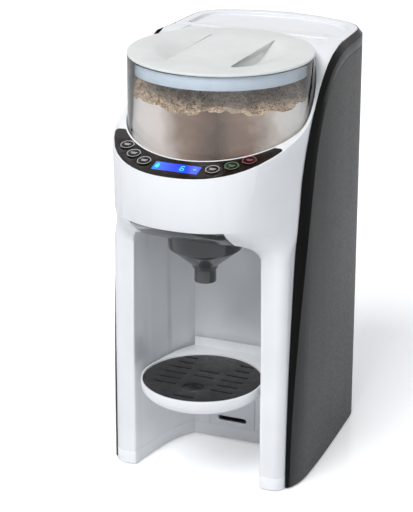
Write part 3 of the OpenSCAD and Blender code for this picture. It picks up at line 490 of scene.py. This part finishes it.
def with_modifiers(piece, *modifiers):
    """Applies modifiers, given as (kind, settings)."""
    for kind, settings in modifiers:
        modifier = piece.modifiers.new(kind.lower(), kind)
        for key, value in settings.items():
            setattr(modifier, key, value)
    shown = piece.evaluated_get(bpy.context.evaluated_depsgraph_get())
    mesh = bpy.data.meshes.new_from_object(shown)
    piece.modifiers.clear()
    old, piece.data = piece.data, mesh
    bpy.data.meshes.remove(old)
    return piece


def rounded(piece, width, segments=2, angle=32):
    """Rounds a piece's hard edges."""
    if width > 0:
        settings = {
            "width": width,
            "segments": segments,
            "limit_method": "ANGLE",
            "angle_limit": math.radians(angle),
            "use_clamp_overlap": False,
            "miter_outer": "MITER_ARC",
        }
        with_modifiers(piece, ("BEVEL", settings))
    return piece


def welded(node, name):
    """A copy of a construction solid with its face seams welded."""
    form = bmesh.new()
    form.from_mesh(frame["nodes"][node].data)
    bmesh.ops.remove_doubles(form, verts=form.verts, dist=WELD_GAP)
    return from_bmesh(name, form)


def revolved(name, profile, axis=HOPPER_AXIS, steps=144, lift=None):
    """A closed solid of revolution about a vertical axis, from (radius, height) points.

    A lift function gives how far each corner is raised.
    """
    form = bmesh.new()
    rings = []
    for radius, height in profile:
        if radius < ON_AXIS:
            tip = form.verts.new((axis.x, axis.y, height))
            rings.append([tip] * steps)
            continue
        rings.append(
            [
                form.verts.new(
                    (axis.x + radius * math.cos(a), axis.y + radius * math.sin(a), height)
                )
                for a in (math.tau * k / steps for k in range(steps))
            ]
        )
    if lift:
        for corner in form.verts:
            corner.co.z += lift(corner.co)
    ends_on_axis = max(profile[0][0], profile[-1][0]) < ON_AXIS
    pairs = zip(rings, rings[1:] if ends_on_axis else rings[1:] + rings[:1])
    for low, high in pairs:
        for k in range(steps):
            j = (k + 1) % steps
            corners = [low[k], low[j], high[j], high[k]]
            corners = [v for i, v in enumerate(corners) if v not in corners[:i]]
            if len(corners) > 2:
                form.faces.new(corners)
    return from_bmesh(name, form)


def finished(piece, body, material, nodes=(), crease=35):
    """Gives a piece its material, its body and the construction solids that it stands for."""
    piece.data.materials.clear()
    piece.data.materials.append(MATERIALS[material])
    smooth_by_angle(piece.data, crease)
    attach(piece, body)
    if nodes:
        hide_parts(*nodes)
    return piece


def body_of(node):
    """Name of the body that carries a construction solid."""
    return next(b for b, members in frame["record"]["behaviour"]["bodies"].items() if node in members)


def dressed(node, name, material, edge, crease=35, segments=2):
    """A construction solid's shape with its edges rounded as a tool would leave them."""
    piece = rounded(welded(node, name), edge, segments)
    return finished(piece, body_of(node), material, [node], crease)


def painted(node, material, crease=30):
    """Gives a construction solid that is shown as it is its material and smooth shading."""
    piece = frame["nodes"][node]
    piece.data.materials.clear()
    piece.data.materials.append(MATERIALS[material])
    smooth_by_angle(piece.data, crease)


def facing(node):
    """Middle and extent of a panel piece's top face."""
    normal = PANEL_TILT @ UP
    points = [v.co for v in frame["nodes"][node].data.vertices]
    top = max(p.dot(normal) for p in points)
    face = [p for p in points if p.dot(normal) > top - FACE_DEPTH]
    low, high = (Vector(map(f, zip(*face))) for f in (min, max))
    return (low + high) / 2, high - low


def plates(name, bars, middle, body, material):
    """Thin printed bars, given as (x, y, width, height), just proud of a panel piece's face."""
    form = bmesh.new()
    for x, y, width, height in bars:
        shape = Matrix.Diagonal((width, height, 2 * PRINT_PROUD, 1))
        bmesh.ops.create_cube(form, size=1, matrix=Matrix.Translation((x, y, 0)) @ shape)
    print_piece = from_bmesh(name, form)
    print_piece.data.transform(Matrix.Translation(middle) @ PANEL_TILT)
    return finished(print_piece, body, material)


# ------------------------------------------------------------------ operators


class MAKER_OT_body(bpy.types.Operator):
    """White front body, its base pan and the satin pieces inside the bay"""

    bl_idname = "maker.body"
    bl_label = "Front body"

    def execute(self, context):
        edge = context.scene.maker_body.shell_edge
        dressed("front_shell", "front_body", "body", edge, 28)
        dressed("base_pan", "base_moulding", "body", context.scene.maker_body.fine_edge)
        dressed("slot_panel", "bay_insert", "inner", context.scene.maker_body.fine_edge)
        painted("bay_ceiling", "inner")
        painted("hopper_deck", "inner")
        return {"FINISHED"}


class MAKER_OT_covers(bpy.types.Operator):
    """Dark side and back covers"""

    bl_idname = "maker.covers"
    bl_label = "Covers"

    def execute(self, context):
        edge = context.scene.maker_body.shell_edge
        for node in ("left_cover", "right_cover", "back_cover"):
            dressed(node, node + "_moulding", "cover", edge, 30)
        return {"FINISHED"}


class MAKER_OT_trims(bpy.types.Operator):
    """Glossy black trims from the base over the shoulders to the back"""

    bl_idname = "maker.trims"
    bl_label = "Trims"

    def execute(self, context):
        for node in ("left_trim", "right_trim"):
            dressed(node, node + "_moulding", "trim", context.scene.maker_body.trim_edge, 50)
        return {"FINISHED"}


class MAKER_OT_panel(bpy.types.Operator):
    """Control panel with its display"""

    bl_idname = "maker.panel"
    bl_label = "Control panel"

    def execute(self, context):
        dressed("control_panel", "panel_overlay", "panel", context.scene.maker_body.fine_edge)
        painted("display_window", "display")
        painted("key_board", "board")
        self.marks(context.scene.maker_print.digit_h)
        return {"FINISHED"}

    def marks(self, height):
        """Lit marks on the display's face: a figure 6 of straight segments, a cup sign and a short line."""
        middle, size = facing("display_window")
        six_x, cup_x, line_x = (share * size.x for share in (0.13, -0.42, 0.4))
        half, line = height / 4, height / 9
        length = 2 * half - line
        bars = [(six_x, y, length, line) for y in (2 * half, 0, -2 * half)]
        bars += [(six_x + x, y, line, length) for x, y in ((-half, half), (-half, -half), (half, -half))]
        bars += [(cup_x, -0.4 * half, 2 * half, 3 * half), (cup_x, 1.6 * half, half, half)]
        bars.append((line_x, 0.4 * half, 2.2 * half, line))
        plates("display_marks", bars, middle, "body", "segment")


class MAKER_OT_keys(bpy.types.Operator):
    """Six round keys with printed rings"""

    bl_idname = "maker.keys"
    bl_label = "Keys"

    def execute(self, context):
        sizes = context.scene.maker_print
        inks = {"key_right_2": "green_ink", "key_right_3": "red_ink"}
        for side in ("left", "right"):
            for place in (1, 2, 3):
                node = f"key_{side}_{place}"
                dressed(node, node + "_cap", "panel", context.scene.maker_body.fine_edge)
                self.print_ring(node, inks.get(node, "white_ink"), sizes)
        return {"FINISHED"}

    def print_ring(self, node, ink, sizes):
        """A ring and two short lines of ink, just proud of the key's face."""
        middle = facing(node)[0]
        inner, outer = sizes.ring_r - sizes.ring_w / 2, sizes.ring_r + sizes.ring_w / 2
        profile = [(inner, 0), (outer, 0), (outer, PRINT_PROUD), (inner, PRINT_PROUD)]
        ring = revolved(node + "_ring", profile, Vector((0, 0, 0)), 48)
        ring.data.transform(Matrix.Translation(middle) @ PANEL_TILT)
        finished(ring, body_of(node), ink)
        line = sizes.ring_w * 1.4
        bars = [(0, 1.1 * line, 6.4 * MM, line), (0, -1.1 * line, 4.4 * MM, line)]
        plates(node + "_lines", bars, middle, body_of(node), ink)


class MAKER_OT_hopper(bpy.types.Operator):
    """Clear hopper wall with its floor, wheels and wiper"""

    bl_idname = "maker.hopper"
    bl_label = "Powder hopper"

    wall = 2.2 * MM
    lip = 0.8 * MM

    def execute(self, context):
        low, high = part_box("hopper_wall")
        outer, inner, lip = high.x, high.x - self.wall, self.lip
        profile = [
            (inner, low.z),
            (outer, low.z),
            (outer, high.z - lip),
            (outer - lip * 0.3, high.z - lip * 0.3),
            (outer - lip, high.z),
            (inner + lip * 0.5, high.z),
            (inner, high.z - lip * 0.5),
        ]
        finished(revolved("clear_wall", profile), "hopper", "clear", ["hopper_wall"], 40)
        painted("hopper_base", "inner")
        for node in ("dosing_wheel", "stirring_wheel", "powder_wiper"):
            painted(node, "acetal")
        return {"FINISHED"}


class MAKER_OT_powder(bpy.types.Operator):
    """Formula powder in the hopper"""

    bl_idname = "maker.powder"
    bl_label = "Powder"

    sag = 4 * MM
    rings, steps = 30, 200
    lump_scale, grain_scale, grain_share = 45, 260, 0.35
    gain, lowest, highest = 1.6, -0.9, 0.95

    def execute(self, context):
        low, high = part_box("formula_powder")
        radius, rings = high.x, self.rings
        profile = [(0, low.z), (radius, low.z)]
        profile += [(radius * k / rings, high.z - self.sag) for k in range(rings, -1, -1)]
        heap = revolved("powder_fill", profile, steps=self.steps, lift=lambda at: self.heave(at, high.z))
        finished(heap, "hopper", "powder", ["formula_powder"], 40)
        return {"FINISHED"}

    def heave(self, at, top):
        """Lumps on the open top, up or down by nearly the sag, and none on the foot."""
        if at.z < top - 2 * self.sag:
            return 0
        lumps = fractal(at * self.lump_scale, 1.0, 2.0, 3)
        lumps += self.grain_share * fractal(at * self.grain_scale, 1.0, 2.0, 2)
        return self.sag * max(self.lowest, min(self.highest, self.gain * lumps))


class MAKER_OT_lids(bpy.types.Operator):
    """Hopper lid with its skirt and gasket, and the water tank's lid"""

    bl_idname = "maker.lids"
    bl_label = "Lids"

    def execute(self, context):
        edge = context.scene.maker_body.lid_edge
        dressed("hopper_lid", "lid_moulding", "lid", edge, 30, 3)
        dressed("lid_skirt", "skirt_moulding", "skirt", context.scene.maker_body.fine_edge, 40)
        dressed("tank_lid", "tank_lid_moulding", "body", edge, 30, 3)
        painted("lid_seal", "seal")
        return {"FINISHED"}


class MAKER_OT_tank(bpy.types.Operator):
    """Water tank and its valve"""

    bl_idname = "maker.tank"
    bl_label = "Water tank"

    def execute(self, context):
        painted("water_tank", "tank")
        painted("tank_plunger", "structure")
        painted("plunger_seal", "foot")
        self.spring()
        painted("valve_socket", "structure")
        return {"FINISHED"}

    def spring(self):
        """The valve's spring, given a mesh of its own."""
        coil = dressed("tank_spring", "valve_spring", "steel", 0)
        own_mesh(coil)


class MAKER_OT_funnel(bpy.types.Operator):
    """Smoked mixing funnel over the bottle bay"""

    bl_idname = "maker.funnel"
    bl_label = "Mixing funnel"

    def execute(self, context):
        dressed("mixing_funnel", "funnel_moulding", "smoke", context.scene.maker_body.fine_edge, 30)
        return {"FINISHED"}


class MAKER_OT_tray(bpy.types.Operator):
    """Drip tray and its grille"""

    bl_idname = "maker.tray"
    bl_label = "Drip tray"

    def execute(self, context):
        dressed("drip_tray", "tray_moulding", "body", context.scene.maker_body.shell_edge, 30)
        dressed("drip_grille", "grille_moulding", "grille", context.scene.maker_body.fine_edge, 30)
        return {"FINISHED"}


class MAKER_OT_works(bpy.types.Operator):
    """Hidden works: chassis, boards, pump, heater, hoses and drive"""

    bl_idname = "maker.works"
    bl_label = "Works"

    finishes = {
        "chassis": "structure",
        "gear_plate": "structure",
        "switch_housing": "structure",
        "water_nozzle": "structure",
        "power_board": "board",
        "pump": "black",
        "heater": "motor",
        "motor": "motor",
        "base_screws": "steel",
        "motor_pinion": "brass",
        "idler_gear": "acetal",
        "output_gear": "acetal",
        "tube_tank_pump": "silicone",
        "tube_pump_heater": "silicone",
        "tube_heater_nozzle": "silicone",
        "rubber_feet": "foot",
    }

    def execute(self, context):
        for node, material in self.finishes.items():
            painted(node, material)
        edge = context.scene.maker_body.fine_edge
        dressed("rocker_switch", "rocker_moulding", "black", edge)
        dressed("cord_inlet", "cord_gland", "black", edge)
        return {"FINISHED"}


class MAKER_OT_stage(bpy.types.Operator):
    """Pale floor, soft light and the camera"""

    bl_idname = "maker.stage"
    bl_label = "Stage"

    # Strength of the surroundings on dull faces
    ambient = 0.42
    # Each sun's direction, strength and spread in degrees
    suns = {"key": ((-0.15, -1.0, 1.2), 2.2, 30), "fill": ((0.9, -1.3, 0.5), 0.35, 50)}

    def execute(self, context):
        sizes = context.scene.maker_stage
        self.camera(context, sizes)
        self.floor(sizes)
        self.light(context)
        context.scene.view_settings.view_transform = "Standard"
        return {"FINISHED"}

    def camera(self, context, sizes):
        data = bpy.data.cameras.new("camera")
        data.lens, data.sensor_width = sizes.focal, 36
        data.clip_start, data.clip_end = 0.05, 60
        camera = bpy.data.objects.new("camera", data)
        a, p, r = sizes.heading, sizes.pitch, sizes.roll
        ahead = Vector((-math.sin(a) * math.cos(p), math.cos(a) * math.cos(p), -math.sin(p)))
        right = ahead.cross(UP).normalized()
        up = right.cross(ahead)
        turned_right = right * math.cos(r) + up * math.sin(r)
        turned_up = up * math.cos(r) - right * math.sin(r)
        axes = Matrix((turned_right, turned_up, -ahead)).transposed().to_4x4()
        camera.matrix_world = Matrix.Translation(sizes.camera_at) @ axes
        context.scene.collection.objects.link(camera)
        context.scene.camera = camera

    def floor(self, sizes):
        form = bmesh.new()
        bmesh.ops.create_grid(form, x_segments=1, y_segments=1, size=sizes.floor_side / 2)
        floor = from_bmesh("floor", form)
        if floor.data.polygons[0].normal.z < 0:
            floor.data.flip_normals()
        floor.data.materials.append(pale_floor())

    def light(self, context):
        world = bpy.data.worlds.new("studio")
        world.use_nodes = True
        tree = world.node_tree
        background = tree.nodes["Background"]
        path = add(tree, "ShaderNodeLightPath").outputs
        shown = path["Is Camera Ray"]
        for kind in ("Is Glossy Ray", "Is Transmission Ray"):
            shown = add(tree, "ShaderNodeMath", {0: shown, 1: path[kind]}, operation="MAXIMUM").outputs[0]
        strength = spread(tree, shown, self.ambient, 1.0, 0, 1)
        tone = blended(tree, shown, linear("#F4F8FF"), (1, 1, 1, 1))
        tree.links.new(tone, background.inputs["Color"])
        tree.links.new(strength, background.inputs["Strength"])
        context.scene.world = world
        for name, (towards, energy, degrees) in self.suns.items():
            sun = self.sun(context, name, towards)
            sun.energy, sun.angle = energy, math.radians(degrees)

    def sun(self, context, name, towards):
        data = bpy.data.lights.new(name, "SUN")
        lamp = bpy.data.objects.new(name, data)
        lamp.location = Vector(towards) * 2
        lamp.rotation_mode = "QUATERNION"
        lamp.rotation_quaternion = Vector(towards).to_track_quat("Z", "Y")
        context.scene.collection.objects.link(lamp)
        return data


def pale_floor():
    """White studio board: smooth and faintly glossy, and lifted towards white where the camera sees it."""
    material, tree, shader, place = surface("white_sweep", "#F4F5F6", 0.16, IOR=1.36)
    tree.links.new(spread(tree, noise(tree, place, 90, 3), 0.12, 0.18), shader.inputs["Roughness"])
    path = add(tree, "ShaderNodeLightPath").outputs
    glow = add(tree, "ShaderNodeEmission", {"Color": (1, 1, 1, 1)})
    tree.links.new(spread(tree, path["Is Camera Ray"], 0.0, 0.3, 0, 1), glow.inputs["Strength"])
    both = add(tree, "ShaderNodeAddShader", {0: shader.outputs[0], 1: glow.outputs[0]})
    tree.links.new(both.outputs[0], tree.nodes["Material Output"].inputs["Surface"])
    return material


OPERATORS = (
    MAKER_OT_stage,
    MAKER_OT_body,
    MAKER_OT_covers,
    MAKER_OT_trims,
    MAKER_OT_panel,
    MAKER_OT_keys,
    MAKER_OT_hopper,
    MAKER_OT_powder,
    MAKER_OT_lids,
    MAKER_OT_tank,
    MAKER_OT_funnel,
    MAKER_OT_tray,
    MAKER_OT_works,
)
GROUPS = {
    "maker_body": BodySizes,
    "maker_print": PrintSizes,
    "maker_colours": Colours,
    "maker_stage": StageSizes,
}


class MAKER_PT_panel(bpy.types.Panel):
    """Steps that dress the formula maker"""

    bl_idname = "MAKER_PT_panel"
    bl_label = "Formula Maker"
    bl_space_type = "VIEW_3D"
    bl_region_type = "UI"
    bl_category = "Formula Maker"

    def draw(self, context):
        for name in GROUPS:
            box = self.layout.box()
            group = getattr(context.scene, name)
            for key in group.bl_rna.properties.keys():
                if key not in ("rna_type", "name"):
                    box.prop(group, key)
        for operator in OPERATORS:
            self.layout.operator(operator.bl_idname)


def register():
    for group in GROUPS.values():
        bpy.utils.register_class(group)
    for operator in OPERATORS:
        bpy.utils.register_class(operator)
    bpy.utils.register_class(MAKER_PT_panel)
    for name, group in GROUPS.items():
        setattr(bpy.types.Scene, name, PointerProperty(type=group))


def unregister():
    for name in GROUPS:
        delattr(bpy.types.Scene, name)
    bpy.utils.unregister_class(MAKER_PT_panel)
    for operator in reversed(OPERATORS):
        bpy.utils.unregister_class(operator)
    for group in reversed(list(GROUPS.values())):
        bpy.utils.unregister_class(group)


def main():
    register()
    MATERIALS.update(make_materials())
    for operator in OPERATORS:
        group, name = operator.bl_idname.split(".")
        getattr(getattr(bpy.ops, group), name)()


if __name__ == "__main__":
    main()
